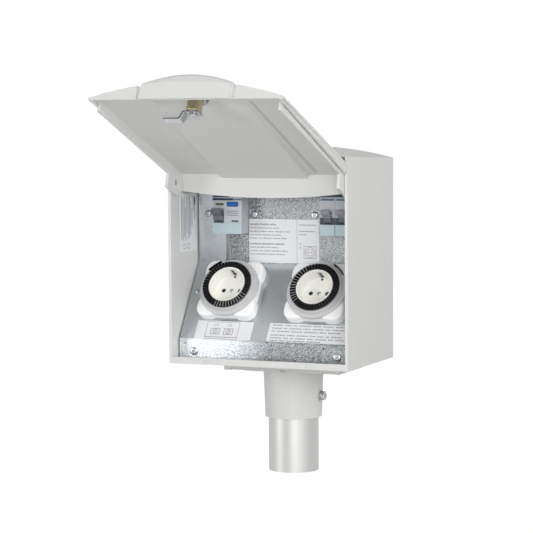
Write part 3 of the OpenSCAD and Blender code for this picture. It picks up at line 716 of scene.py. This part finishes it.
@dataclass
class Stand:
    """The tube, its collar and the pieces that clamp them."""

    edge: float = 0.8

    def build(self, shading: EdgeShading) -> None:
        """Dress the stand's nodes."""
        shading.dress("post_tube", TUBE, 0.4)
        shading.dress("post_collar", SHELL, self.edge)
        shading.dress("collar_flange", SHELL, self.edge)
        for node in ("clamp_screw", "clamp_washer", "flange_screws"):
            shading.dress(node, STEEL, 0.3)
        shading.dress("flange_gasket", RUBBER)
        shading.dress("cable_grommet", RUBBER, 0.3)


@dataclass
class Shell:
    """The housing, the lid and the lid's lock."""

    edge: float = 0.7
    half_width: float = 103.0
    foot: float = -3.5
    corner: float = 205.0
    bow: float = 16.0
    rim: tuple[float, float] = (2.0, 8.5)
    # Start and run of the lid strip that is painted shade.
    shade_strip_start: tuple[float, float] = (57.0, 26.0)
    shade_strip_run: tuple[float, float] = (4.5, 172.0)

    def inner_face(self, x: float, z: float) -> Vector:
        """The point of the closed lid's inner face beside its middle band."""
        ramp = (z - self.foot) / (self.corner - self.foot)
        low, high = self.rim
        arch = self.bow * (1.0 - ramp) * (1.0 - (x / self.half_width) ** 2)
        return Vector((x, -(low + (high - low) * ramp + arch), z))

    def lay_shade_strip(self, steps: int = 8, half: float = 2.0) -> None:
        """Lay a darker grey strip along the right of the lid's middle band, as painted shade there.

        Args:
            steps: straight lengths that it is made of.
            half: half its width.
        """
        shape = Shape()
        (x, z), (across, up) = self.shade_strip_start, self.shade_strip_run
        points = [self.inner_face(x + across * i / steps, z + up * i / steps)
                  for i in range(steps + 1)]
        for start, end in zip(points, points[1:]):
            along = (end - start).normalized()
            out = Vector((1.0, 0.0, 0.0)).cross(along).normalized()
            axes = Matrix((out.cross(along), along, -out)).transposed().to_4x4()
            place = in_lid() @ Matrix.Translation(start) @ axes
            shape.slab((-half, -0.1, -0.8), (half, (end - start).length + 0.1, 0.5), place, 0.25)
        shape.piece("lid_shade_strip", Body.LID, "grey_shell", SHADE_STRIP)

    def build(self, shading: EdgeShading) -> None:
        """Dress the shell's nodes and the lock's."""
        shading.dress("housing", SHELL, self.edge)
        shading.dress("lid", SHELL, flat_faces=False)
        # The lid's strip of painted shade.
        self.lay_shade_strip()
        shading.dress("hinge_pins", STEEL, 0.3)
        shading.dress("lock_barrel", BRASS, 0.4)
        for node in ("lock_nut", "lock_plug", "lock_cam", "cam_screw"):
            shading.dress(node, STEEL, 0.35)


@dataclass
class Plate:
    """The bent equipment plate, its screws and what is fixed behind it."""

    SHANK = ((0.0, -8.0), (1.2, -8.0), (1.7, -7.0), (1.7, 0.2), (0.0, 0.2))

    head_radius: float = 4.0
    head_height: float = 2.0
    panel_row: float = 158.0
    panel_screws: tuple[float, ...] = (-86.73, -30.97, 39.79)
    foot_row: float = 12.2
    foot_screws: tuple[float, ...] = (-80.65, 85.46)
    slope_screw: tuple[float, float] = (-92.32, 57.5)

    def screws(self) -> None:
        """Make the plate's screws with domed cross heads."""
        shape = Shape()
        radius = self.head_radius
        places = [(facing_front(x, PANEL_FRONT, self.panel_row), radius) for x in self.panel_screws]
        places += [(facing_front(x, FOOT_FRONT, self.foot_row), radius + 0.5)
                   for x in self.foot_screws]
        places += [(on_slope(*self.slope_screw), radius - 1.0)]
        for place, head in places:
            shape.cross_head(head, self.head_height, place).turned(self.SHANK, place, 20)
        shape.piece("plate_screw_set", Body.POST, "zinc_steel", STEEL, ["plate_screws"])

    def build(self, shading: EdgeShading) -> None:
        """Dress the plate's nodes and make its screws."""
        shading.dress("equipment_plate", ZINC, 0.3)
        shading.dress("din_rail", ZINC, 0.2)
        shading.dress("rail_screws", STEEL, 0.3)
        shading.dress("terminal_block", SHADED_GEAR, 0.5)
        shading.dress("earth_bar", BRASS, 0.4)
        self.screws()


@dataclass
class Labels:
    """The white labels and the grey bars that stand for their print.

    A line of print is its middle, its end and the lengths of its words.
    """

    PANEL_START = -36.4
    PANEL_LINES = (
        (147.3, -5.3, (9, 8, 6)), (143.4, -1.8, (6, 4, 8, 5)), (139.6, 10.5, (8, 7, 6, 9, 4)),
        (135.9, 0.5, (4, 7, 8, 3, 6)), (132.3, 6.9, (7, 3, 9, 6, 5)), (126.2, 4.0, (8, 9, 7)),
        (122.3, -2.5, (5, 8, 4, 6)), (118.7, 8.1, (7, 3, 6, 8, 5)), (115.0, 5.1, (4, 9, 5, 7)))
    PANEL_HEADINGS = (147.3, 126.2)
    HEADING = 1.6
    SOCKET_START = 21.6
    SOCKET_LINES = ((147.3, 41.4, (6, 8)), (140.4, 40.0, (9,)), (136.9, 30.1, (5, 3)))
    SOCKET_FIGURE = (33.9, 118.0)
    NOTICE_START = 7.6
    NOTICE_BAR = 1.3
    NOTICE_LINES = (
        (20.2, 90.0, (9, 6, 3, 11, 7, 9, 8)), (16.6, 92.0, (8, 3, 10, 6, 9, 4, 11)),
        (13.0, 86.5, (3, 9, 8, 10, 5, 9)), (8.4, 89.0, (11, 6, 9, 4, 5, 3, 8)),
        (5.0, 92.0, (9, 4, 3, 8, 5, 9, 4, 7)), (1.9, 66.0, (6, 5, 4, 9, 11)))
    WORD_GAP = 0.022
    STROKE_SHARE = 0.66
    TALL_STROKE = 0.18
    WALL_PITCH = 3.2
    WALL_BAR = 1.2
    WALL_COLUMNS = (
        (14.0, 60.0), (12.0, 57.0), (16.0, 60.0), (12.0, 48.0), (20.0, 60.0), (13.0, 58.0),
        (15.0, 60.0), (18.0, 54.0), (26.0, 46.0), (44.0, 60.0), (34.0, 60.0))

    bar: float = 1.05
    stroke: float = 1.5
    film: float = 0.25
    rise: float = 0.05

    def _bar(self, shape: Shape, place: Matrix, box: Box) -> None:
        """Draw a filled rectangle from x0, y0, x1 and y1."""
        x0, y0, x1, y1 = box
        shape.slab((x0, y0, self.film), (x1, y1, self.film + self.rise), place)

    def _line(self, shape: Shape, place: Matrix, x0: float, x1: float, y: float,
              words: Sequence[float], height: float = 0.0) -> None:
        """Draw one line of print as short strokes in words of uneven length.

        Args:
            shape: the print that the line joins.
            place: the label's frame.
            x0: start of the line.
            x1: end of the line.
            y: middle of the line.
            words: lengths of the words, as shares of the line; gaps come between them.
            height: height of the strokes; the usual one where it is 0.
        """
        tall = height or self.bar
        gap = self.WORD_GAP * (x1 - x0)
        room = (x1 - x0) - gap * (len(words) - 1)
        at = x0
        for share in words:
            length = room * share / sum(words)
            strokes = max(1, round(length / self.stroke))
            step = length / strokes
            for i in range(strokes):
                above = tall * (0.5 + self.TALL_STROKE * ((share * 3 + i * 5) % 4 == 0))
                left = at + i * step
                right = left + step * self.STROKE_SHARE
                self._bar(shape, place, (left, y - tall * 0.5, right, y + above))
            at += length + gap

    def _frame(self, shape: Shape, place: Matrix, box: Box, line: float = 0.5) -> None:
        """Draw a rectangle's outline from x0, y0, x1 and y1."""
        x0, y0, x1, y1 = box
        for bar in ((x0, y0, x1, y0 + line), (x0, y1 - line, x1, y1),
                    (x0, y0, x0 + line, y1), (x1 - line, y0, x1, y1)):
            self._bar(shape, place, bar)

    def _ring(self, shape: Shape, place: Matrix, x: float, y: float, radius: float,
              line: float = 0.5) -> None:
        """Draw a circle's outline."""
        inner, top = radius - line, self.film + self.rise
        profile = ((inner, self.film), (radius, self.film), (radius, top), (inner, top),
                   (inner, self.film))
        shape.turned(profile, place @ Matrix.Translation((x, y, 0.0)), 32)

    def _dot(self, shape: Shape, place: Matrix, x: float, y: float, radius: float) -> None:
        """Draw a filled dot."""
        top = self.film + self.rise
        profile = ((0.0, self.film), (radius, self.film), (radius, top), (0.0, top))
        shape.turned(profile, place @ Matrix.Translation((x, y, 0.0)), 16)

    def panel(self) -> None:
        """Print the two labels of the upright panel."""
        place = facing_front(0.0, PANEL_FRONT, 0.0)
        shape = Shape()
        for z, end, words in self.PANEL_LINES:
            height = self.HEADING if z in self.PANEL_HEADINGS else 0.0
            self._line(shape, place, self.PANEL_START, end, z, words, height)
        for z, end, words in self.SOCKET_LINES:
            self._line(shape, place, self.SOCKET_START, end, z, words)
        self._line(shape, place, 21.4, 24.6, 127.0, (3, 2), 1.0)
        self._line(shape, place, 22.4, 23.4, 123.0, (1,), 2.6)
        self._frame(shape, place, (26.7, 111.3, 41.1, 124.6))
        x, z = self.SOCKET_FIGURE
        self._ring(shape, place, x, z, 5.9)
        self._ring(shape, place, x, z, 4.0, 0.4)
        for aside in (-1.7, 1.7):
            self._dot(shape, place, x + aside, z, 0.75)
        shape.piece("panel_print", Body.POST, "label_white", INK)

    def slope(self) -> None:
        """Print the two labels of the slope."""
        place = on_slope(0.0, 0.0)
        shape = Shape()
        self._frame(shape, place, (-69.0, 3.2, -31.0, 21.6), 0.45)
        self._frame(shape, place, (-69.0, 0.9, -31.0, 3.4), 0.4)
        for x in (-58.0, -42.5):
            self._frame(shape, place, (x - 5.4, 6.4, x + 5.4, 13.8), 0.6)
            self._ring(shape, place, x, 10.1, 2.9, 0.7)
            self._dot(shape, place, x, 10.1, 0.8)
            self._frame(shape, place, (x - 2.4, 16.4, x + 2.4, 18.8), 0.35)
        for y, end, words in self.NOTICE_LINES:
            self._line(shape, place, self.NOTICE_START, end, y, words, self.NOTICE_BAR)
        shape.piece("slope_print", Body.POST, "label_white", INK)

    def wall(self) -> None:
        """Print the columns of the label on the left wall."""
        place = facing_right(-99.8, 22.0, 118.0)
        shape = Shape()
        for step, (low, high) in enumerate(self.WALL_COLUMNS):
            x = self.WALL_PITCH + self.WALL_PITCH * step
            self._bar(shape, place, (x, low, x + self.WALL_BAR, high))
        self._bar(shape, place, (34.4, 50.0, 38.0, 58.0))
        for x in (8.0, 18.0):
            self._frame(shape, place, (x, 3.0, x + 5.5, 8.5))
        shape.piece("wall_print", Body.POST, "label_white", INK)

    def build(self, shading: EdgeShading) -> None:
        """Dress the labels and print them."""
        for name in ("rating", "panel", "socket", "diagram", "notice"):
            shading.dress(f"{name}_label", LABEL)
        self.panel()
        self.slope()
        self.wall()


@dataclass
class Switchgear:
    """The residual-current switch and the pair of breakers."""

    rcd_x: float = -55.76
    rcd_half: float = 17.3
    breakers: tuple[float, float] = (61.32, 78.82)
    breaker_half: float = 8.5
    saddle_foot: float = 149.3
    front: float = 48.0
    sunk: float = -0.4

    def _bar(self, shape: Shape, box: Box, rise: float, edge: float = 0.0) -> Shape:
        """Lay a bar on the fronts.

        Args:
            shape: the trim that the bar joins.
            box: its x0, z0, x1 and z1.
            rise: how far it stands out.
            edge: radius of its edges.

        Returns:
            The shape.
        """
        x0, z0, x1, z1 = box
        place = facing_front(0.0, self.front, 0.0)
        return shape.slab((x0, z0, self.sunk), (x1, z1, rise), place, edge)

    def trim(self) -> None:
        """Make the stripes, panes and marks of the fronts, and the dark strips at their tops that are
        painted shade under the visor.
        """
        left, half, foot = self.rcd_x - self.rcd_half, self.breaker_half, self.saddle_foot
        self._bar(Shape(), (left, 173.6, left + 24.6, 175.9), 0.25, 0.1).piece(
            "rcd_stripe", Body.POST, "blue_button", NAVY)
        self._bar(Shape(), (left + 3.6, 168.3, left + 13.4, 170.7), 0.3, 0.15).piece(
            "rcd_pane", Body.POST, "slate_toggle", OLIVE)
        marks = self._bar(Shape(), (-50.3, 150.4, -42.6, 152.2), 0.2, 0.08)
        for z in (157.6, 159.8, 162.0):
            self._bar(marks, (-55.4, z - 0.25, -42.9, z + 0.25), 0.12)
        marks.piece("rcd_marks", Body.POST, "slate_toggle", SLATE)
        stripes, saddles = Shape(), Shape()
        self._bar(stripes, (left + 24.9, 173.9, left + 34.4, 175.4), 0.2, 0.08)
        for x in self.breakers:
            self._bar(stripes, (x - 7.4, 174.6, x + 7.4, 176.6), 0.25, 0.1)
            self._bar(saddles, (x - half, foot, x + half, 150.2), 0.3, 0.1)
            for middle in (x - 6.7, x + 6.7):
                self._bar(saddles, (middle - 1.8, foot, middle + 1.8, 156.6), 0.3, 0.1)
        stripes.piece("gear_stripes", Body.POST, "blue_button", SKY)
        # Dark strips at the tops of the fronts: painted shade under the visor.
        shadow_bars = self._bar(Shape(), (left + 0.4, 177.0, left + 20.0, 178.6), 0.2, 0.08)
        first, last = self.breakers
        self._bar(shadow_bars, (first - half, 178.4, last + half, 181.8), 0.2, 0.08)
        shadow_bars.piece("gear_painted_shadows", Body.POST, "slate_toggle", SLATE)
        saddles.piece("breaker_saddles", Body.POST, "slate_toggle", SLATE)

    def build(self, shading: EdgeShading) -> None:
        """Dress the switchgear's nodes and make its trim."""
        # Their white is drawn darker as painted shade under the visor.
        for node in ("rcd_body", "left_breaker_body", "right_breaker_body"):
            shading.dress(node, SHADED_GEAR, 0.4)
        shading.dress("rcd_toggle", TOGGLE, 0.6)
        for node in ("left_breaker_toggle", "right_breaker_toggle"):
            shading.dress(node, DUSK, 0.6)
        shading.dress("rcd_test_button", BLUE, 0.4)
        for node in ("rcd_window", "left_breaker_window", "right_breaker_window"):
            shading.dress(node, TEAL, 0.2)
        self.trim()


@dataclass
class TimerSocket:
    """One plug-in timer with its socket.

    The tabs that are set leave pale gaps, which begin at an angle in degrees.
    """

    TAB_PITCH = 7.5
    DRUM_PROFILE = (
        (20.55, 9.05), (33.2, 9.05), (33.5, 9.4), (33.5, 12.5), (33.3, 13.0), (32.8, 13.2),
        (30.6, 13.2), (30.0, 13.5), (29.2, 16.9), (28.7, 17.4), (20.55, 17.4), (20.55, 9.05))
    FOOT_HALF = 31.4
    FOOT_CORNER = 6.0
    FOOT_HEIGHT = 9.0
    FOOT_EDGE = 1.2
    PAD_HEIGHT = 11.0
    PAD_EDGE = 2.2
    PAD_CORNER = 10.0
    PAD_FROM = 18.5
    PIN_OUT = 9.5
    RECESS_FLOOR = 4.3
    BOTH = (-1.0, 1.0)

    side: Side
    x: float
    first_gap: float
    gap_half: float
    gaps: int
    s: float = 57.5
    lobe: float = 25.0
    reach: float = 33.6
    bore: float = 20.6

    def node(self, name: str) -> str:
        """The name of a node, a piece or a body on this side."""
        return f"{self.side.value}_{name}"

    def base(self, place: Matrix) -> None:
        """Make the foot with its four rounded corner pads."""
        shape = Shape().bored_plate(self.FOOT_HALF, self.FOOT_CORNER, self.bore, self.FOOT_HEIGHT,
                                    self.FOOT_EDGE, place)
        half = self.lobe / 2
        middle = self.reach - half
        for x in self.BOTH:
            for y in self.BOTH:
                low = (x * middle - half, y * middle - half, 0.0)
                high = (x * middle + half, y * middle + half, self.PAD_HEIGHT)
                beyond = Vector((x, y, 0.0)) * self.PAD_FROM
                shape.slab(low, high, place, self.PAD_EDGE, self.PAD_CORNER, beyond)
        shape.piece(self.node("timer_foot"), Body.POST, "white_timer", TIMER,
                    [self.node("timer_base")])

    def drum(self, place: Matrix) -> None:
        """Make the drum with its rounded shelf and neck."""
        Shape().turned(self.DRUM_PROFILE, place, 96).piece(
            self.node("drum_skirt"), Body.POST, "grey_drum", DRUM, [self.node("timer_drum")])

    def set_tabs(self, place: Matrix) -> None:
        """Make the pale gaps between the tabs that are set."""
        shape = Shape()
        for step in range(self.gaps):
            turn = Matrix.Rotation(math.radians(self.first_gap + self.TAB_PITCH * step), 4, "Z")
            shape.slab((21.6, -self.gap_half, 18.9), (27.0, self.gap_half, 20.0), place @ turn)
        shape.piece(self.node("tab_gaps"), Body(self.node("dial")), "white_timer", TIMER)

    def contacts(self, place: Matrix) -> None:
        """Make the earth clips, the near-black fills of the pin holes and of the gap and hole by each
        clip, which are painted shade, and the middle screw of the recess.
        """
        clips, painted_shade = Shape(), Shape()
        for y in self.BOTH:
            near, far = sorted((y * 19.32, y * 19.85))
            clips.slab((-2.7, near, self.RECESS_FLOOR), (2.7, far, 16.0), place, 0.15)
            # Painted shade in the gap beside the clip and in the hole at its foot.
            near, far = sorted((y * 19.0, y * 19.5))
            painted_shade.slab((-0.7, near, 4.4), (0.7, far, 14.5), place)
            painted_shade.turned(((0.0, 4.2), (1.3, 4.2), (1.3, 4.42), (0.0, 4.42)),
                        place @ Matrix.Translation((0.0, y * 16.9, 0.0)), 20)
        # Painted shade in the pin holes.
        for x in (-self.PIN_OUT, self.PIN_OUT):
            painted_shade.turned(((0.0, -0.9), (2.45, -0.9), (2.45, 3.6), (0.0, 3.6)),
                        place @ Matrix.Translation((x, 0.0, 0.0)), 24)
        clips.piece(self.node("earth_springs"), Body.POST, "zinc_steel", STEEL,
                    [self.node("earth_clips")])
        painted_shade.piece(self.node("hole_shade_fills"), Body.POST, "black_dial", HOLE_SHADE)
        seat = place @ Matrix.Translation((0.0, 0.0, self.RECESS_FLOOR))
        Shape().cross_head(2.3, 0.9, seat).piece(
            self.node("recess_screw"), Body.POST, "zinc_steel", STEEL)

    def build(self, shading: EdgeShading) -> None:
        """Dress the timer's nodes and make its pieces."""
        place = on_slope(self.x, self.s)
        self.base(place)
        self.drum(place)
        self.set_tabs(place)
        self.contacts(place)
        shading.dress(self.node("timer_rear"), TIMER, 0.8)
        shading.dress(self.node("timer_dial"), CHARCOAL, 0.3)
        shading.dress(self.node("timer_tabs"), BLACK, 0.25)
        shading.dress(self.node("socket"), CREAM, flat_faces=False)
        shading.dress(self.node("override"), BLACK, 0.3)


@dataclass
class Studio:
    """The floor, the light and the camera."""

    lens: float = 137.19
    stand: Point = (0.864404, -2.045319, 0.387887)
    yaw: float = 23.662
    pitch: float = 4.224
    roll: float = -0.298
    soft: float = 0.28
    floor_half: float = 12.0
    floor_height: float = -0.0006
    floor_glow: float = 1.08
    floor_share: float = 0.93

    def camera(self) -> None:
        """Set the camera at the photograph's viewing angle."""
        data = bpy.data.cameras.new("camera")
        data.lens = self.lens
        data.sensor_width = 36.0
        data.sensor_fit = "HORIZONTAL"
        made = bpy.data.objects.new("camera", data)
        bpy.context.scene.collection.objects.link(made)
        place = Matrix.Translation(self.stand)
        for angle, axis in ((self.yaw, "Z"), (90 - self.pitch, "X"), (self.roll, "Z")):
            place = place @ Matrix.Rotation(math.radians(angle), 4, axis)
        made.matrix_world = place
        bpy.context.scene.camera = made

    def lamp(self, name: str, place: Point, aim: Point, size: float, watts: float) -> None:
        """Set one square soft lamp.

        Args:
            name: the lamp's name.
            place: where it hangs.
            aim: the point it faces.
            size: width of its face.
            watts: its power.
        """
        data = bpy.data.lights.new(name, "AREA")
        data.size = size
        data.energy = watts
        made = bpy.data.objects.new(name, data)
        bpy.context.scene.collection.objects.link(made)
        made.location = place
        made.rotation_euler = (Vector(aim) - Vector(place)).to_track_quat("-Z", "Y").to_euler()

    def world(self) -> None:
        """Light the scene evenly and show white to the camera, to metal and to glass."""
        world = bpy.data.worlds.new("studio")
        world.use_nodes = True
        bpy.context.scene.world = world
        bench = Bench(world.node_tree)
        soft, white = (bench.node("ShaderNodeBackground", {}, {"Color": WHITE, "Strength": glow})
                       for glow in (self.soft, 1.0))
        mixed = bench.node("ShaderNodeMixShader", {}, {0: bench.seen(), 1: soft, 2: white})
        bench.node("ShaderNodeOutputWorld", {}, {"Surface": mixed})

    def floor(self) -> None:
        """Lay the pale floor."""
        part = bmesh.new()
        bmesh.ops.create_grid(part, x_segments=1, y_segments=1, size=self.floor_half,
                              matrix=Matrix.Translation((0.0, 0.0, self.floor_height)))
        mesh = bpy.data.meshes.new("floor")
        part.to_mesh(mesh)
        part.free()
        made = bpy.data.objects.new("floor", mesh)
        bpy.context.scene.collection.objects.link(made)
        material = bpy.data.materials.new("pale_floor")
        material.use_nodes = True
        bench = Bench(material.node_tree)
        lit = bench.node("ShaderNodeBsdfDiffuse", {}, {"Color": (0.80, 0.80, 0.80, 1.0)})
        white = bench.node("ShaderNodeEmission", {}, {"Color": WHITE, "Strength": self.floor_glow})
        share = bench.seen() * self.floor_share
        mixed = bench.node("ShaderNodeMixShader", {}, {0: share, 1: lit, 2: white})
        bench.node("ShaderNodeOutputMaterial", {}, {"Surface": mixed})
        mesh.materials.append(material)

    def build(self) -> None:
        """Set the scene."""
        bpy.context.scene.view_settings.view_transform = "Standard"
        self.camera()
        self.world()
        self.floor()
        self.lamp("key", (1.0, -2.15, 0.55), (0.0, -0.05, 0.24), 1.2, 21.6)
        self.lamp("side", (-1.5, -1.55, 0.33), (0.0, -0.05, 0.2), 0.6, 10.8)
        self.lamp("fill", (1.9, -1.2, 0.9), (0.0, 0.0, 0.22), 1.4, 21.6)
        self.lamp("top", (0.1, -0.3, 2.2), (0.0, -0.05, 0.25), 1.4, 0.8)
        self.lamp("rear", (-0.6, 2.3, 0.21), (0.0, 0.04, 0.21), 0.4, 11.0)


def main() -> None:
    """Build the scene, piece by piece."""
    logging.basicConfig(level=logging.INFO, format="%(name)s: %(message)s")
    Studio().build()
    shading = EdgeShading()
    Stand().build(shading)
    Shell().build(shading)
    Plate().build(shading)
    Labels().build(shading)
    Switchgear().build(shading)
    TimerSocket(Side.LEFT, SOCKET_MIDDLE - SOCKET_SPREAD, -108.75, 0.12, 12).build(shading)
    TimerSocket(Side.RIGHT, SOCKET_MIDDLE + SOCKET_SPREAD, 123.75, 0.07, 14).build(shading)


if __name__ == "__main__":
    main()
